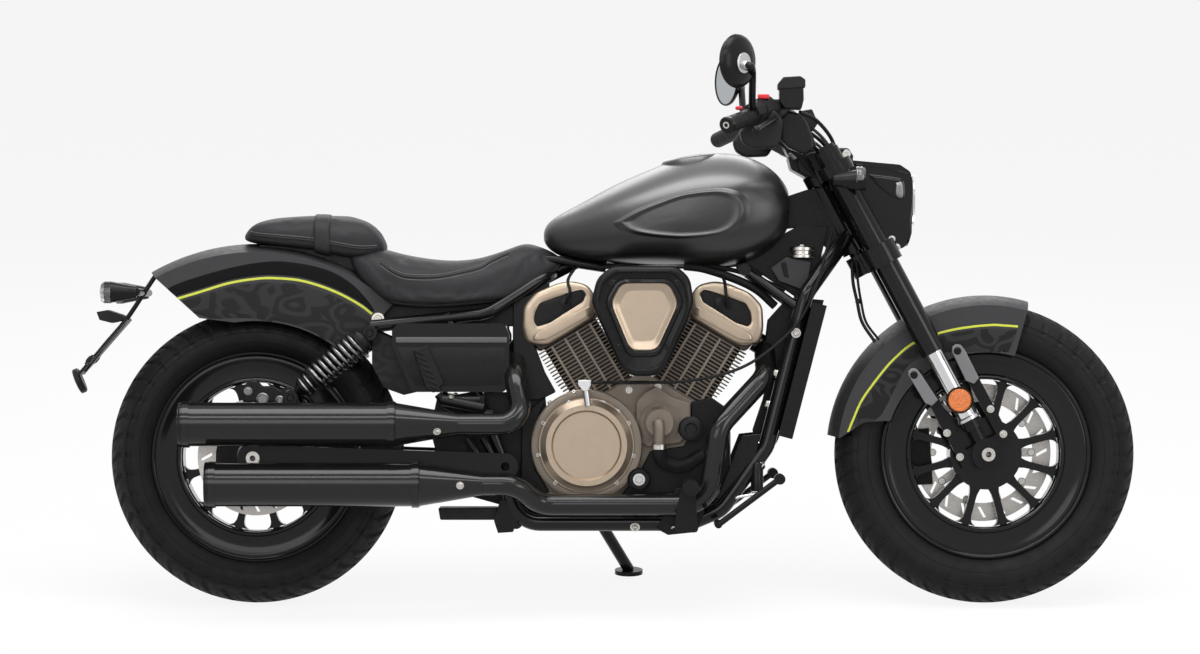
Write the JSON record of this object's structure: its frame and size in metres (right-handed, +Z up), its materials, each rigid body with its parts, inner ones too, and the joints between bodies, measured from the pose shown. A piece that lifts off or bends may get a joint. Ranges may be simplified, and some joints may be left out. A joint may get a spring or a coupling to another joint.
{
  "type": "cruiser motorcycle",
  "caption": "Cruiser motorcycle with an open finned V engine, teardrop tank, split seats and twin side mufflers, leaning on its side stand.",
  "frame": {"origin": "on the floor, under the middle of the leaning machine's box", "axes": "+X forward along the machine, +Y to its left, +Z up; the machine leans to +Y on its side stand"},
  "size_m": [2.2217, 0.9218, 1.2267],
  "materials": {
    "black_gloss": "gloss black",
    "black_plastic": "textured",
    "black_rubber": "moulded",
    "black_satin": "satin black",
    "bright_steel": "ground steel",
    "champagne": "champagne satin",
    "charcoal_paint": "charcoal metallic, clear coated",
    "clear_lens": "clear",
    "seat_cover": "fine grain",
    "taupe_cast": "taupe grey cast",
    "tyre_rubber": "road tyre"
  },
  "bodies": {
    "chassis": {"air_cleaner": "black_gloss", "air_cleaner_inset": "champagne", "brake_pedal": "black_satin", "clutch_cover": "champagne", "drive_belt": "black_rubber", "engine_case": "taupe_cast", "exhaust_pipes": "black_satin", "footpeg_left": "black_satin", "footpeg_right": "black_satin", "front_cylinder": "taupe_cast", "front_head_cover": "champagne", "front_pulley": "black_satin", "fuel_cap": "bright_steel", "fuel_tank": "charcoal_paint", "left_case_cover": "taupe_cast", "lower_muffler": "black_satin", "main_frame": "black_gloss", "passenger_pegs": "black_satin", "pillion_seat": "seat_cover", "plate_holder": "black_satin", "pump_cover": "taupe_cast", "radiator": "black_satin", "rear_axle": "bright_steel", "rear_caliper": "black_satin", "rear_cylinder": "taupe_cast", "rear_fender": "charcoal_paint", "rear_head_cover": "champagne", "rear_signals": "black_satin", "rider_seat": "seat_cover", "shift_lever": "black_satin", "shock_left": "black_satin", "shock_right": "black_satin", "side_cover_left": "black_gloss", "side_cover_right": "black_gloss", "swingarm": "black_gloss", "upper_muffler": "black_satin"},
    "steering_head": {"brake_reservoir": "black_plastic", "fork_lowers": "black_satin", "fork_uppers": "black_gloss", "front_axle": "bright_steel", "front_caliper": "black_satin", "front_fender": "charcoal_paint", "front_signals": "black_satin", "grips": "black_rubber", "handlebar": "black_gloss", "headlight_lens": "clear_lens", "headlight_shell": "black_gloss", "levers": "black_satin", "mirrors": "black_satin", "triple_clamps": "black_gloss"},
    "front_wheel": {"front_tyre": "tyre_rubber", "front_rim": "black_gloss", "front_disc": "bright_steel"},
    "rear_wheel": {"rear_tyre": "tyre_rubber", "rear_rim": "black_gloss", "rear_disc": "bright_steel", "rear_pulley": "black_satin"},
    "stand": {"side_stand": "black_satin"}
  },
  "joints": [
    {"name": "steering", "type": "hinge", "parent": "chassis", "child": "steering_head", "pos_m": [0.54095, -0.07034, 0.70056], "axis": [-0.4695, 0.1533, 0.8695], "range_deg": [-35, 35]},
    {"name": "front_wheel_spin", "type": "hinge", "parent": "steering_head", "child": "front_wheel", "pos_m": [0.79692, -0.13914, 0.31037], "axis": [0, 0.9848, -0.1736], "continuous": true},
    {"name": "rear_wheel_spin", "type": "hinge", "parent": "chassis", "child": "rear_wheel", "pos_m": [-0.72708, -0.14031, 0.3037], "axis": [0, 0.9848, -0.1736], "continuous": true},
    {"name": "side_stand_fold", "type": "hinge", "parent": "chassis", "child": "stand", "pos_m": [-0.02908, -0.01191, 0.16812], "axis": [0.1067, 0.8348, 0.5401], "range_deg": [0, 110]}
  ]
}
